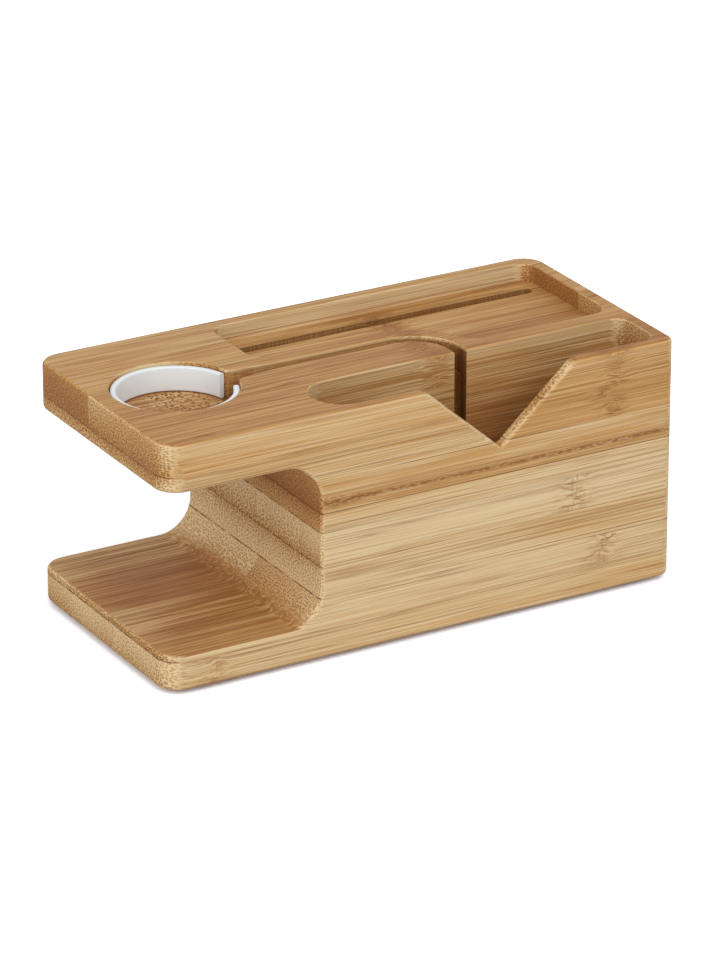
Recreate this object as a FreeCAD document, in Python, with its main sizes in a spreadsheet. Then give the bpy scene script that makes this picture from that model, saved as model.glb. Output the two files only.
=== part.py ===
import FreeCAD, Part
import math
import os

# A charging station organizer: a glued bamboo block with a watch platform over an open throat, a phone
# pocket behind a V notch, a tray with a slot, and a cable groove from the round watch pocket to the phone
# pocket. X runs along the length with the platform at the left, Y from front to back, Z up. The origin is
# the middle of the base, on the surface that the bumpers stand on.

doc = FreeCAD.newDocument("charging_station_organizer")
sheet = doc.addObject("Spreadsheet::Sheet", "sizes")

# Plies from the top down
PLIES = [
    "top_ply",
    "second_ply",
    "third_ply",
    "fourth_ply",
    "fifth_ply",
    "sixth_ply",
    "seventh_ply",
    "bottom_ply",
]

# Driving dimensions in millimetres, with angles in degrees
SIZES = {
    # Plies: thickness, and the widths of the strips at the front and back faces
    "top_ply_thickness": 8.2,
    "top_ply_front_strip": 16.55,
    "top_ply_back_strip": 6.35,
    "second_ply_thickness": 8.5,
    "second_ply_front_strip": 5.6,
    "second_ply_back_strip": 17.3,
    "third_ply_thickness": 8.5,
    "third_ply_front_strip": 16.55,
    "third_ply_back_strip": 6.35,
    "fourth_ply_thickness": 5.0,
    "fourth_ply_front_strip": 4.5,
    "fourth_ply_back_strip": 18.4,
    "fifth_ply_thickness": 8.9,
    "fifth_ply_front_strip": 10.55,
    "fifth_ply_back_strip": 12.35,
    "sixth_ply_thickness": 8.0,
    "sixth_ply_front_strip": 9.15,
    "sixth_ply_back_strip": 13.75,
    "seventh_ply_thickness": 7.9,
    "seventh_ply_front_strip": 8.65,
    "seventh_ply_back_strip": 14.25,
    "bottom_ply_thickness": 7.4,
    "bottom_ply_front_strip": 5.85,
    "bottom_ply_back_strip": 17.05,
    # Corners and edges of the block
    "corner_radius": 6.0,
    "front_right_corner_radius": 2.8,
    "edge_round": 1.1,
    "rim_round": 0.5,
    "cut_overrun": 5.0,
    # Throat: what it leaves of the second ply under the platform and of the seventh on the foot
    "platform_skin": 3.9,
    "foot_skin": 1.6,
    "upper_cove_radius": 9.3,
    "lower_cove_radius": 8.7,
    # Phone pocket, as deep as the three top plies, and the V notch in its front wall
    "pocket_length": 91.0,
    "pocket_width": 16.15,
    "pocket_front_wall": 3.0,
    "pocket_end_wall": 3.75,
    "pocket_right_radius": 3.7,
    "notch_width": 41.3,
    "notch_bite": 1.5,
    "notch_round": 4.0,
    "notch_point_radius": 0.8,
    # Watch pocket and its split liner
    "watch_left_wall": 4.85,
    "watch_right_wall": 5.35,
    "watch_floor": 1.2,
    "liner_radius": 15.4,
    "liner_wall": 1.4,
    "liner_sink": 0.8,
    "liner_clearance": 0.25,
    "liner_gap_angle": 32.0,
    "liner_gap_turn_angle": -3.6,
    "liner_edge_round": 0.4,
    # Cable groove, its mouth at the watch pocket and its slot down the phone pocket
    "groove_width": 3.4,
    "groove_end_run": 2.8,
    "groove_mouth_front_radius": 3.0,
    "groove_mouth_back_radius": 1.0,
    "groove_flare_radius": 115.0,
    "groove_flare_length": 17.0,
    "cable_slot_reach": 4.0,
    # Tray and its slot
    "tray_depth": 4.6,
    "tray_width": 38.55,
    "tray_end_rim": 3.9,
    "tray_back_rim": 4.1,
    "tray_groove_land": 4.1,
    "tray_pocket_land": 4.9,
    "tray_corner_radius": 4.5,
    "tray_slot_width": 3.5,
    "tray_slot_end_rim": 3.1,
    "tray_slot_depth": 6.0,
    "tray_slot_setback": 5.3,
    # Bumper feet
    "bumper_height": 1.2,
    "bumper_radius": 4.0,
    "bumper_base_radius": 3.6,
    "bumper_inset": 7.5,
    "bumper_round": 0.3,
}
for row, (alias, value) in enumerate(SIZES.items(), 1):
    sheet.set(f"A{row}", alias.replace("_", " "))
    sheet.set(f"B{row}", str(value))
    sheet.setAlias(f"B{row}", alias)
doc.recompute()


def size(alias):
    """A driving dimension as the sheet holds it."""
    return float(sheet.get(alias))


def term(alias):
    """The same dimension as a term of an expression."""
    return "sizes." + alias


def total(*expressions):
    """The sum of these expressions."""
    return "(" + " + ".join(expressions) + ")"


def stack(plies):
    """Thickness of these plies together, as an expression."""
    return total(*(term(ply + "_thickness") for ply in plies))


# The notch parts the front strips of these plies, and the phone pocket is as deep as those
NOTCHED_PLIES = PLIES[:2]
POCKET_PLIES = PLIES[:3]

# Levels and places that several pieces share, as expressions of the driving dimensions
OVERRUN = term("cut_overrun")
WATCH_RADIUS = total(term("liner_radius"), term("liner_clearance"))
BLOCK_LENGTH = f"({term('pocket_length')} + 2 * {term('pocket_end_wall')})"
PLATFORM_LENGTH = f"({term('watch_left_wall')} + 2 * {WATCH_RADIUS} + {term('watch_right_wall')})"
BODY_LENGTH = total(PLATFORM_LENGTH, BLOCK_LENGTH)
BODY_DEPTH = total(
    term("pocket_front_wall"),
    term("pocket_width"),
    term("tray_pocket_land"),
    term("tray_width"),
    term("tray_back_rim"),
)
TOP = total(term("bumper_height"), stack(PLIES))
PAST_TOP = total(TOP, OVERRUN)
LEFT = f"(-{BODY_LENGTH} / 2)"
RIGHT = f"({BODY_LENGTH} / 2)"
FRONT = f"(-{BODY_DEPTH} / 2)"
BACK = f"({BODY_DEPTH} / 2)"
BLOCK_MIDDLE = f"({RIGHT} - {BLOCK_LENGTH} / 2)"
WATCH_X = total(LEFT, term("watch_left_wall"), WATCH_RADIUS)
POCKET_FRONT = total(FRONT, term("pocket_front_wall"))
POCKET_BACK = total(POCKET_FRONT, term("pocket_width"))
POCKET_MIDDLE = f"({POCKET_FRONT} + {term('pocket_width')} / 2)"
POCKET_FLOOR = f"({TOP} - {stack(POCKET_PLIES)})"
WATCH_FLOOR = f"({TOP} - {stack(PLIES[:1])} + {term('watch_floor')})"
TRAY_FLOOR = f"({TOP} - {term('tray_depth')})"
BEND_RADIUS = f"(-{POCKET_BACK} - {term('groove_end_run')})"
BEND_X = f"({BLOCK_MIDDLE} - {BEND_RADIUS})"
BEND_Y = f"(-{BEND_RADIUS})"


def place(made, x, y, z):
    """Bind an object's position."""
    for axis, expression in zip("xyz", (x, y, z)):
        made.setExpression("Placement.Base." + axis, expression)
    return made


def box(name, x_span, y_span, z_span):
    """A box between two expressions on each axis."""
    made = doc.addObject("Part::Box", name)
    for side, (low, high) in zip(("Length", "Width", "Height"), (x_span, y_span, z_span)):
        made.setExpression(side, f"{high} - ({low})")
    return place(made, x_span[0], y_span[0], z_span[0])


def cylinder(name, radius, x, y, z_span):
    """An upright cylinder."""
    made = doc.addObject("Part::Cylinder", name)
    made.setExpression("Radius", radius)
    made.setExpression("Height", f"{z_span[1]} - ({z_span[0]})")
    return place(made, x, y, z_span[0])


def cut(name, base, tool):
    """Base without tool."""
    made = doc.addObject("Part::Cut", name)
    made.Base = base
    made.Tool = tool
    return made


def fuse(name, *shapes):
    """All the shapes as one."""
    made = doc.addObject("Part::MultiFuse", name)
    made.Shapes = list(shapes)
    return made


def is_sharp(shape, edge):
    """True where the two faces at an edge meet at an angle."""
    point = edge.valueAt((edge.FirstParameter + edge.LastParameter) / 2)
    normals = []
    for face in shape.ancestorsOfType(edge, Part.Face):
        u, v = face.Surface.parameter(point)
        normals.append(face.normalAt(u, v))
    smooth_angle = math.radians(10)
    return len(normals) == 2 and normals[0].getAngle(normals[1]) > smooth_angle


def is_upright(edge):
    """True for a straight edge along Z."""
    return abs(edge.tangentAt(edge.FirstParameter).z) > 1 - Part.Precision.confusion()


def rounded(name, base, radius_of):
    """Base with each edge rounded by radius_of(shape, edge), zero leaving it as it is."""
    doc.recompute()
    made = doc.addObject("Part::Fillet", name)
    made.Base = base
    picked = []
    for number, edge in enumerate(base.Shape.Edges, 1):
        radius = radius_of(base.Shape, edge)
        if radius > 0:
            picked.append((number, radius, radius))
    made.Edges = picked
    return made


def make_outer_block():
    """The block with its corners, throat and V notch, its outer edges eased."""
    solid = box("block_stock", (LEFT, RIGHT), (FRONT, BACK), (term("bumper_height"), TOP))

    def corner(shape, edge):
        if not is_upright(edge):
            return 0
        center = edge.CenterOfMass
        front_right = center.x > 0 and center.y < 0
        return size("front_right_corner_radius") if front_right else size("corner_radius")

    solid = rounded("block_corners", solid, corner)
    foot_top = total(term("bumper_height"), term("bottom_ply_thickness"), term("foot_skin"))
    platform_underside = f"({TOP} - {term('top_ply_thickness')} - {term('platform_skin')})"
    throat = box(
        "throat_stock",
        (f"({LEFT} - {OVERRUN})", f"({RIGHT} - {BLOCK_LENGTH})"),
        (f"({FRONT} - {OVERRUN})", f"({BACK} + {OVERRUN})"),
        (foot_top, platform_underside),
    )
    doc.recompute()
    bounds = throat.Shape.BoundBox

    def cove(shape, edge):
        center = edge.CenterOfMass
        along_depth = abs(edge.tangentAt(edge.FirstParameter).y) > 0
        if not along_depth or center.x < bounds.Center.x:
            return 0
        return size("upper_cove_radius") if center.z > bounds.Center.z else size("lower_cove_radius")

    solid = cut("block_throat", solid, rounded("throat", throat, cove))
    notch = make_notch()
    solid = cut("block_notch", solid, notch)
    doc.recompute()
    front = solid.Shape.BoundBox.YMin
    near = size("edge_round") / 2
    notch_room = notch.Shape.BoundBox
    notch_room.enlarge(near)

    def outer_edge(shape, edge):
        center = edge.CenterOfMass
        in_notch = center.y > front + near and notch_room.isInside(center)
        return size("edge_round") if is_sharp(shape, edge) and not in_notch else 0

    return rounded("outer_block", solid, outer_edge)


def make_notch():
    """The V notch: a wedge with its point down, and the room over its two rounded shoulders."""
    y_span = (f"({FRONT} - {OVERRUN})", POCKET_MIDDLE)
    depth = total(stack(NOTCHED_PLIES), term("notch_bite"))
    slope = f"atan(2 * {depth} / {term('notch_width')})"
    wedge = doc.addObject("Part::Wedge", "notch_wedge")
    half_width = f"({depth} + {OVERRUN}) / tan({slope})"
    for side, expression in {
        "Xmin": f"-{half_width}",
        "Xmax": half_width,
        "X2min": "0",
        "X2max": "0",
        "Ymin": "0",
        "Ymax": f"{depth} + {OVERRUN}",
        "Zmin": "0",
        "Z2min": "0",
        "Zmax": f"{y_span[1]} - {y_span[0]}",
        "Z2max": f"{y_span[1]} - {y_span[0]}",
    }.items():
        wedge.setExpression(side, expression)
    point_down = FreeCAD.Rotation(FreeCAD.Vector(1, 0, 0), -90)
    wedge.Placement = FreeCAD.Placement(FreeCAD.Vector(), point_down)
    place(wedge, BLOCK_MIDDLE, y_span[0], PAST_TOP)
    doc.recompute()
    point_level = wedge.Shape.BoundBox.ZMin + size("notch_point_radius") / 2

    def point(shape, edge):
        return size("notch_point_radius") if edge.BoundBox.ZMax < point_level else 0

    wedge = rounded("notch_point", wedge, point)

    # Each shoulder's arc meets the slope and the top face tangentially
    round_over = term("notch_round")
    arc_reach = f"({term('notch_width')} / 2 + {round_over} * tan({slope} / 2))"
    shoulders = []
    for side, sign in (("left", "-"), ("right", "+")):
        center = f"({BLOCK_MIDDLE} {sign} {arc_reach})"
        inner = f"({BLOCK_MIDDLE} {sign} ({arc_reach} - {round_over} * sin({slope})))"
        x_span = (center, inner) if side == "left" else (inner, center)
        low = f"({TOP} - {round_over} * (1 - cos({slope})))"
        room = box(f"notch_{side}_room", x_span, y_span, (low, PAST_TOP))
        arc = doc.addObject("Part::Cylinder", f"notch_{side}_arc")
        arc.setExpression("Radius", round_over)
        arc.setExpression("Height", f"{y_span[1]} - {y_span[0]}")
        arc.Placement = FreeCAD.Placement(FreeCAD.Vector(), point_down)
        place(arc, center, y_span[0], f"({TOP} - {round_over})")
        shoulders.append(cut(f"notch_{side}_shoulder", room, arc))
    return fuse("notch", wedge, *shoulders)


def make_phone_pocket():
    """The phone pocket: its left end a half circle, its right corners rounded."""
    z_span = (POCKET_FLOOR, PAST_TOP)
    left_center = f"({BLOCK_MIDDLE} - {term('pocket_length')} / 2 + {term('pocket_width')} / 2)"
    right_end = f"({BLOCK_MIDDLE} + {term('pocket_length')} / 2)"
    run = box("pocket_run", (left_center, right_end), (POCKET_FRONT, POCKET_BACK), z_span)
    doc.recompute()
    middle = run.Shape.BoundBox.Center

    def right_corner(shape, edge):
        return size("pocket_right_radius") if is_upright(edge) and edge.CenterOfMass.x > middle.x else 0

    run = rounded("pocket_right_end", run, right_corner)
    left_end = cylinder("pocket_left_end", term("pocket_width") + " / 2", left_center, POCKET_MIDDLE, z_span)
    return fuse("phone_pocket", run, left_end)


def make_cable_way():
    """The watch pocket, the groove that bends forward from it, and the slot down the phone pocket."""
    z_span = (WATCH_FLOOR, PAST_TOP)
    half = f"{term('groove_width')} / 2"
    watch = cylinder("watch_pocket", WATCH_RADIUS, WATCH_X, "0", z_span)
    straight = box("groove_straight", (WATCH_X, BEND_X), (f"-{half}", half), z_span)
    flare_end = total(WATCH_X, WATCH_RADIUS, term("groove_flare_length"))
    flare_reach = f"({half} + {OVERRUN})"
    flare = box("flare_stock", (WATCH_X, flare_end), (f"-{flare_reach}", flare_reach), z_span)
    flare_radius = term("groove_flare_radius")
    for side, sign in (("front", "-"), ("back", "")):
        side_y = f"{sign}({half} + {flare_radius})"
        flare_side = cylinder(f"flare_{side}_side", flare_radius, flare_end, side_y, z_span)
        flare = cut(f"flare_{side}", flare, flare_side)
    mouth = fuse("groove_mouth", watch, straight, flare)
    doc.recompute()
    watch_right = watch.Shape.BoundBox.XMax

    def mouth_corner(shape, edge):
        at_mouth = is_upright(edge) and is_sharp(shape, edge) and edge.CenterOfMass.x < watch_right
        if not at_mouth:
            return 0
        side = "front" if edge.CenterOfMass.y < 0 else "back"
        return size(f"groove_mouth_{side}_radius")

    mouth = rounded("watch_pocket_mouth", mouth, mouth_corner)
    outer = cylinder("groove_bend_outer", f"{BEND_RADIUS} + {half}", BEND_X, BEND_Y, z_span)
    outer.Angle = 90
    inner = cylinder("groove_bend_inner", f"{BEND_RADIUS} - {half}", BEND_X, BEND_Y, z_span)
    bend = cut("groove_bend", outer, inner)
    x_span = (f"({BLOCK_MIDDLE} - {half})", f"({BLOCK_MIDDLE} + {half})")
    run = box("groove_run", x_span, (POCKET_MIDDLE, BEND_Y), z_span)
    slot_end = f"({POCKET_BACK} + {term('cable_slot_reach')} - {half})"
    slot_z = (POCKET_FLOOR, PAST_TOP)
    slot = box("cable_slot_run", x_span, (POCKET_MIDDLE, slot_end), slot_z)
    slot_round = cylinder("cable_slot_end", half, BLOCK_MIDDLE, slot_end, slot_z)
    return [mouth, bend, run, slot, slot_round]


def make_tray():
    """The tray, its front edge following the groove at one land's width."""
    z_span = (TRAY_FLOOR, PAST_TOP)
    half_length = f"({BLOCK_LENGTH} / 2 - {term('tray_end_rim')})"
    left = f"({BLOCK_MIDDLE} - {half_length})"
    right = f"({BLOCK_MIDDLE} + {half_length})"
    front = f"({POCKET_BACK} + {term('tray_pocket_land')})"
    back = f"({BACK} - {term('tray_back_rim')})"
    area = box("tray_area", (left, right), (front, back), z_span)
    land_reach = f"({term('groove_width')} / 2 + {term('tray_groove_land')})"
    past_left = f"({left} - {OVERRUN})"
    past_front = f"({front} - {OVERRUN})"
    straight = box("land_straight", (past_left, BEND_X), (past_front, land_reach), z_span)
    bend_reach = total(BEND_RADIUS, land_reach)
    land = fuse("land", straight, cylinder("land_bend", bend_reach, BEND_X, BEND_Y, z_span))

    def tray_corner(shape, edge):
        return size("tray_corner_radius") if is_upright(edge) and is_sharp(shape, edge) else 0

    tray = rounded("tray", cut("tray_outline", area, land), tray_corner)
    half = f"{term('tray_slot_width')} / 2"
    middle_y = f"({back} - {term('tray_slot_setback')} - {half})"
    slot_z = (f"({TRAY_FLOOR} - {term('tray_slot_depth')})", PAST_TOP)
    reach = f"({half_length} - {term('tray_slot_end_rim')} - {half})"
    ends = (f"({BLOCK_MIDDLE} - {reach})", f"({BLOCK_MIDDLE} + {reach})")
    slot = box("tray_slot_run", ends, (f"({middle_y} - {half})", f"({middle_y} + {half})"), slot_z)
    rounds = [
        cylinder(f"tray_slot_{side}_end", half, end, middle_y, slot_z)
        for side, end in zip(("left", "right"), ends)
    ]
    return [tray, slot, *rounds]


def make_machined_block():
    """The glued block after all its cuts, with the rims of the hollows eased."""
    hollows = fuse("hollows", make_phone_pocket(), *make_cable_way(), *make_tray())
    hollowed = cut("hollowed_block", make_outer_block(), hollows)
    doc.recompute()
    top = doc.block_stock.Shape.BoundBox.ZMax
    near = size("rim_round") / 2

    def rim(shape, edge):
        at_top = edge.BoundBox.ZMin > top - near
        return size("rim_round") if at_top and is_sharp(shape, edge) else 0

    return rounded("machined_block", hollowed, rim)


def strip_joints(ply):
    """Where this ply's strips meet, from front to back: two equal strips lie between the outer two."""
    front = total(FRONT, term(ply + "_front_strip"))
    back = f"({BACK} - {term(ply + '_back_strip')})"
    return [front, f"({total(front, back)} / 2)", back]


def make_strips(block):
    """Every bamboo strip: the part of the machined block that lies in its own stock."""
    strips = []
    x_past = (f"({LEFT} - {OVERRUN})", f"({RIGHT} + {OVERRUN})")
    for index, ply in enumerate(PLIES):
        low = f"({TOP} - {stack(PLIES[:index + 1])})"
        high = f"({TOP} - {stack(PLIES[:index])})" if index else PAST_TOP
        sides = [f"({FRONT} - {OVERRUN})", *strip_joints(ply), f"({BACK} + {OVERRUN})"]
        for number, y_span in enumerate(zip(sides, sides[1:]), 1):
            name = f"{ply}_strip_{number}"
            if number == 1 and ply in NOTCHED_PLIES:
                pieces = {
                    name + "_left": (x_past[0], BLOCK_MIDDLE),
                    name + "_right": (BLOCK_MIDDLE, x_past[1]),
                }
            else:
                pieces = {name: x_past}
            for node, x_span in pieces.items():
                strip = doc.addObject("Part::Common", node)
                strip.Base = block
                strip.Tool = box(node + "_stock", x_span, y_span, (low, high))
                strips.append(strip)
    return strips


def make_liner():
    """The split ring that lines the watch pocket, its gap towards the cable groove."""
    z_span = (WATCH_FLOOR, f"({TOP} - {term('liner_sink')})")
    ring = cylinder("liner_outer", term("liner_radius"), WATCH_X, "0", z_span)
    ring.setExpression("Angle", f"360 - {term('liner_gap_angle')}")
    gap_end = f"{term('liner_gap_turn_angle')} + {term('liner_gap_angle')} / 2"
    ring.setExpression("Placement.Rotation.Angle", gap_end)
    bore = cylinder("liner_bore", f"{term('liner_radius')} - {term('liner_wall')}", WATCH_X, "0", z_span)
    split_ring = cut("liner_ring", ring, bore)
    doc.recompute()
    top = split_ring.Shape.BoundBox.ZMax
    near = size("liner_edge_round") / 2

    def top_edge(shape, edge):
        return size("liner_edge_round") if edge.BoundBox.ZMin > top - near else 0

    return rounded("watch_charger_liner", split_ring, top_edge)


def make_bumpers():
    """Four clear feet, each a low cone with its lower edge rounded."""
    bumpers = []
    x_reach = f"({RIGHT} - {term('bumper_inset')})"
    y_reach = f"({BACK} - {term('bumper_inset')})"
    for depth_side, y in (("front", f"-{y_reach}"), ("back", y_reach)):
        for length_side, x in (("left", f"-{x_reach}"), ("right", x_reach)):
            node = f"bumper_{depth_side}_{length_side}"
            cone = doc.addObject("Part::Cone", node + "_cone")
            cone.setExpression("Radius1", term("bumper_base_radius"))
            cone.setExpression("Radius2", term("bumper_radius"))
            cone.setExpression("Height", term("bumper_height"))
            place(cone, x, y, "0")

            def lower_edge(shape, edge):
                at_base = edge.BoundBox.ZMax < size("bumper_height") / 2
                return size("bumper_round") if at_base else 0

            bumpers.append(rounded(node, cone, lower_edge))
    return bumpers


pieces = [*make_strips(make_machined_block()), make_liner(), *make_bumpers()]
doc.recompute()

for made in doc.Objects:
    if "Invalid" in made.State or "Error" in made.State:
        raise RuntimeError(f"{made.Label} did not build: {made.State}")
for piece in pieces:
    if piece.Shape.isNull() or not piece.Shape.isValid() or len(piece.Shape.Solids) != 1:
        raise RuntimeError(f"{piece.Label} is not one valid solid")

os.makedirs("parts", exist_ok=True)
for piece in pieces:
    piece.Shape.exportStep(f"parts/{piece.Label}.step")
    print(f"{piece.Label}: {piece.Shape.Volume:.1f} mm3")
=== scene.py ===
"""Looks of a bamboo charging station organizer: strip materials, charger liner, bumper feet and stage."""
import math
import random

import bpy
from mathutils import Matrix, Vector


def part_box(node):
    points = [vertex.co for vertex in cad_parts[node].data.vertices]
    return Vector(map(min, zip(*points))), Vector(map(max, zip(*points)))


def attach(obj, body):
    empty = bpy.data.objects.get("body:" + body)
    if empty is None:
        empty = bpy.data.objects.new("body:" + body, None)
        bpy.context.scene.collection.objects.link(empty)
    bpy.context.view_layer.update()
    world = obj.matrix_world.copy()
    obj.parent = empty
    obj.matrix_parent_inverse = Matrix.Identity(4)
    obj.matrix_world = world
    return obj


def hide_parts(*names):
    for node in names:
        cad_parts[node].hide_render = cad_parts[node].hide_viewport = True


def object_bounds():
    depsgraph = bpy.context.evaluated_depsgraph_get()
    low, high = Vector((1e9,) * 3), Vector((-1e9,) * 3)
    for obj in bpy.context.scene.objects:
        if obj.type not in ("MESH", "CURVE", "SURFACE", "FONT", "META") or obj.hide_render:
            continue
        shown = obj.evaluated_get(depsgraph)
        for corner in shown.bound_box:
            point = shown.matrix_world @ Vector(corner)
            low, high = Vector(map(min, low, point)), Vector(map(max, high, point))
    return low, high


bl_info = {
    "name": "Charging station organizer",
    "version": (1, 0, 0),
    "blender": (4, 5, 0),
    "location": "View3D > Sidebar > Organizer",
    "description": "Dresses the strips, liner and feet of a bamboo charging station organizer",
    "category": "Object",
}

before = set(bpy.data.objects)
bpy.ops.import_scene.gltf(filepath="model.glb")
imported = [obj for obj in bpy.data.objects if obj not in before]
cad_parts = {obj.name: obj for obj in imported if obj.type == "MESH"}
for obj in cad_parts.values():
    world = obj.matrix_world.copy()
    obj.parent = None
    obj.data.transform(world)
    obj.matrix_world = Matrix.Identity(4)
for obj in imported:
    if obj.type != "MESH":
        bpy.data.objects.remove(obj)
CAD_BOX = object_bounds()

MILLIMETRE = 0.001

# The plies from the top down: how dark the wood is, from 0 for pale through 1 for honey to 2 for
# brown, how much darker its cut ends are, and on which side, -1 for below and 1 for above, the denser and
# darker wood of the stem's rind is
PLIES = {
    "top_ply": (0.46, 0.40, -1),
    "second_ply": (0.52, 0.00, 1),
    "third_ply": (0.82, 0.65, -1),
    "fourth_ply": (0.46, 0.60, 1),
    "fifth_ply": (-0.05, 0.30, -1),
    "sixth_ply": (0.36, -0.55, 1),
    "seventh_ply": (0.50, -0.10, -1),
    "bottom_ply": (0.48, -0.10, -1),
}

# Strips that differ from the tone of their ply
STRIP_TONES = {
    "top_ply_strip_1_left": 0.60,
    "top_ply_strip_1_right": 1.05,
    "second_ply_strip_1_right": 1.35,
    "top_ply_strip_2": 0.60,
    "top_ply_strip_3": 0.15,
    "top_ply_strip_4": 0.05,
    "seventh_ply_strip_1": 0.20,
    "seventh_ply_strip_2": -0.15,
    "seventh_ply_strip_3": 0.50,
    "seventh_ply_strip_4": -0.15,
}

# Strips whose cut ends differ from those of their ply
END_TONES = {
    "top_ply_strip_1_right": -0.35,
    "second_ply_strip_1_right": -0.35,
    "top_ply_strip_2": 0.35,
    "top_ply_strip_3": 1.80,
    "top_ply_strip_4": 1.80,
    "sixth_ply_strip_3": -0.35,
    "seventh_ply_strip_1": 0.35,
    "seventh_ply_strip_2": 0.80,
    "seventh_ply_strip_3": -0.23,
    "seventh_ply_strip_4": 0.10,
}

# Where a strip has a knuckle of the bamboo stem: its place along the strip in millimetres and its strength
KNUCKLES = {
    "top_ply_strip_1_right": (54.0, 0.8),
    "second_ply_strip_1_right": (51.0, 1.0),
    "fifth_ply_strip_1": (41.5, 1.0),
    "seventh_ply_strip_1": (50.0, 1.0),
    "bottom_ply_strip_1": (-57.5, 0.8),
    "top_ply_strip_2": (14.4, 0.9),
    "top_ply_strip_3": (19.0, 1.0),
    "third_ply_strip_4": (-8.0, 0.8),
    "sixth_ply_strip_4": (33.0, 0.8),
    "bottom_ply_strip_3": (12.0, 0.8),
}

# Knuckles that show only as spots on the floor of the watch pocket
FLOOR_KNUCKLES = {
    "top_ply_strip_2": (-44.0, 1.0),
    "top_ply_strip_3": (-44.5, 1.0),
}
NO_KNUCKLE = (0.0, 0.0)

# How far along the strip a knuckle, its hard core and the spots round it reach, in millimetres
KNUCKLE_REACH = 4.2
CORE_REACH = 1.4
SPOT_REACH = 7.5

# How often the patterns of the wood repeat in a millimetre: along the strip, across it and up
PATTERNS = {
    "ragged": (0.05, 0.6, 0.6),
    "wander": (0.010, 0.08, 0.08),
    "swirl": (0.16, 0.5, 0.5),
    "bands": (0.005, 0.42, 0.42),
    "lines": (0.012, 1.0, 2.1),
    "shown": (0.022, 0.62, 0.62),
    "threads": (0.03, 1.4, 3.4),
    "dashes": (0.20, 1.2, 2.2),
    "ticks": (1.6, 0.22, 0.22),
    "spots": (1.15, 0.72, 0.9),
    "drift": (0.014, 0.05, 0.05),
    "stain": (0.06, 0.5, 0.5),
    "chatter": (2.0, 2.0, 0.12),
    "vein": (0.7, 2.6, 2.6),
}

# How far the patterns move, in millimetres, for each step of a strip's seed
SEED_STEP = (37.1, 11.3, 23.7)

# The front strip that shows a dark vein, how far above the strip's lower side the vein runs, and how dark
VEINED_STRIP = "third_ply_strip_1"
VEIN_RISE = 2.25
VEIN_INK = 0.95

# Where along the strip the vein starts, is thin and ends, its rise at both ends and its half widths
VEIN_START = -27.0
VEIN_THIN = -10.0
VEIN_END = 66.0
VEIN_SLOPE = (0.3, -0.2)
VEIN_HALF_WIDTHS = (1.6, 0.7)

# Narrow cuts whose walls get painted shade: lowest and highest corners in millimetres, and how much
CUTS_WITH_PAINTED_SHADE = {
    "cable slot": ((19.0, -14.1, 38.0), (22.5, -10.0, 62.8), 1.0),
    "tray slot": ((-21.7, 20.3, 52.7), (63.2, 24.1, 58.9), 0.7),
    "groove": ((-34.0, -2.2, 56.4), (9.4, 2.2, 62.8), 0.35),
    "groove bend": ((9.3, -13.0, 56.4), (22.6, 2.0, 62.8), 0.50),
    "groove mouth": ((-35.6, -7.0, 56.4), (-27.0, 7.0, 62.8), 0.48),
}

# The painted shadow line at the foot of the charger liner: its middle, the distances from there at which it
# starts, is full and ends, and its lowest and highest levels
LINER_SHADOW_MIDDLE = (-49.5, 0.0, 0.0)
LINER_SHADOW_DISTANCES = (13.4, 13.95, 15.95)
LINER_SHADOW_LEVELS = (56.0, 57.0)

# How finely the charger liner is divided round its arc and at its edges
LINER_STEPS = 160
EDGE_STEPS = 5

# How finely a bumper foot is divided round and down, and how late its side turns in towards the floor
BUMPER_STEPS = 64
BUMPER_SIDE_RINGS = 8
BUMPER_FILL_RINGS = 6
BUMPER_ROUNDING = 4.0

# What the camera looks at, and how far its aim is moved right and up from there, in metres
CAMERA_TARGET = (0.0, 0.0, 0.028)
CAMERA_SHIFT = (0.000883, 0.000894)

# Places of the square lamps, what they point at, and the length of their sides
LAMPS = {"front": (0.0, -1.15, 1.05), "left": (-1.30, -0.55, 0.62), "top": (0.0, 0.0, 1.53)}
LAMP_TARGET = (0.0, 0.0, 0.03)
LAMP_SIZE = 1.1

# Half the length of the floor's sides, and the white that the floor shows to the camera
FLOOR_REACH = 4.0
FLOOR_WHITE = (1.62, 1.71, 1.83, 1.0)


class BambooSettings(bpy.types.PropertyGroup):
    """Colours and scale of the bamboo."""

    pale: bpy.props.FloatVectorProperty(
        name="Pale wood",
        description="Colour of the palest strips",
        subtype="COLOR",
        size=4,
        default=(0.74, 0.565, 0.325, 1.0),
    )
    honey: bpy.props.FloatVectorProperty(
        name="Honey wood",
        description="Colour of the darker strips",
        subtype="COLOR",
        size=4,
        default=(0.58, 0.33, 0.118, 1.0),
    )
    # The painted shade of the body's hollows darkens the wood towards brown
    brown: bpy.props.FloatVectorProperty(
        name="Brown wood",
        description="Colour of the darkest wood, in machined hollows and at the rind",
        subtype="COLOR",
        size=4,
        default=(0.40, 0.175, 0.05, 1.0),
    )
    end: bpy.props.FloatVectorProperty(
        name="Cut ends",
        description="Colour between the fibre bundles of cut ends",
        subtype="COLOR",
        size=4,
        default=(0.80, 0.57, 0.30, 1.0),
    )
    fibre: bpy.props.FloatVectorProperty(
        name="Fibre",
        description="Colour of the dark fibre bundles",
        subtype="COLOR",
        size=4,
        default=(0.25, 0.095, 0.024, 1.0),
    )
    glue: bpy.props.FloatVectorProperty(
        name="Glue line",
        description="Colour of the thin glue lines between strips",
        subtype="COLOR",
        size=4,
        default=(0.19, 0.075, 0.02, 1.0),
    )
    glue_width: bpy.props.FloatProperty(
        name="Glue line width",
        description="How wide a glue line looks on either strip",
        subtype="DISTANCE",
        unit="LENGTH",
        default=0.0002,
    )
    bundle_pitch: bpy.props.FloatProperty(
        name="Bundle pitch",
        description="Distance between the fibre bundles",
        subtype="DISTANCE",
        unit="LENGTH",
        default=0.00052,
    )


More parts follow.
